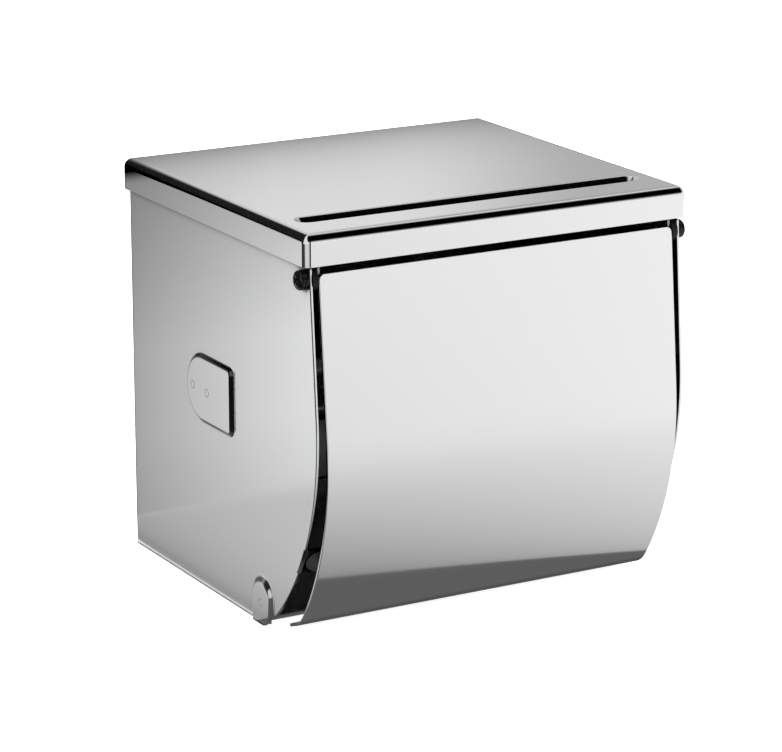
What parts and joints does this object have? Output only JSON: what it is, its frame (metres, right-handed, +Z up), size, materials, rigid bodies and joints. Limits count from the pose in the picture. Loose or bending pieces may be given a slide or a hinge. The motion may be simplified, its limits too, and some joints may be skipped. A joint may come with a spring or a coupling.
{
  "type": "toilet paper holder",
  "caption": "Closed wall-mounted steel box for a toilet roll, with a swinging curved front cover, a pressed lid and a sprung roller inside.",
  "frame": {"origin": "centre of the four wall screw holes, on the face of the back that lies on the wall, level with the roller's axis", "axes": "+X to the right seen from the front, +Y into the wall, +Z up; the cover faces -Y"},
  "size_m": [0.1404, 0.132, 0.134],
  "materials": {
    "body_steel": "polished stainless sheet",
    "lid_steel": "polished stainless sheet",
    "cover_steel": "polished stainless sheet",
    "inner_steel": "mill-finish stainless",
    "roller_steel": "satin stainless tube",
    "spring_steel": "drawn wire",
    "black_screw": "black oxide, glossy",
    "bush_nylon": "black nylon",
    "roller_nylon": "white nylon",
    "stop_silicone": "soft translucent grey silicone"
  },
  "bodies": {
    "case": {"body_shell": "body_steel", "lid_cap": "lid_steel", "bottom_pan": "inner_steel", "roll_bracket_left": "inner_steel", "roll_bracket_right": "inner_steel", "cover_stop_left": "stop_silicone", "cover_stop_right": "stop_silicone", "pivot_screw_left": "black_screw", "pivot_screw_right": "black_screw", "pivot_washer_left": "black_screw", "pivot_washer_right": "black_screw", "pivot_bush_left": "bush_nylon", "pivot_bush_right": "bush_nylon"},
    "cover": {"front_cover": "cover_steel", "cover_ear_left": "inner_steel", "cover_ear_right": "inner_steel"},
    "roller": {"roller_outer_tube": "roller_steel", "roller_cap_left": "roller_nylon", "roller_spring": "spring_steel"},
    "roller_slider": {"roller_inner_tube": "roller_steel", "roller_cap_right": "roller_nylon"}
  },
  "joints": [
    {"name": "cover_hinge", "type": "hinge", "parent": "case", "child": "cover", "pos_m": [0, -0.12351, 0.0512], "axis": [-1, 0, 0], "range_deg": [0, 90]},
    {"name": "roller_spin", "type": "hinge", "parent": "case", "child": "roller", "pos_m": [0, -0.066, 0], "axis": [1, 0, 0], "continuous": true},
    {"name": "roller_squeeze", "type": "slide", "parent": "roller", "child": "roller_slider", "axis": [1, 0, 0], "range_m": [-0.008, 0], "stiffness_N_per_m": 400, "springref_m": 0.006, "deforming": ["roller_spring"]}
  ]
}
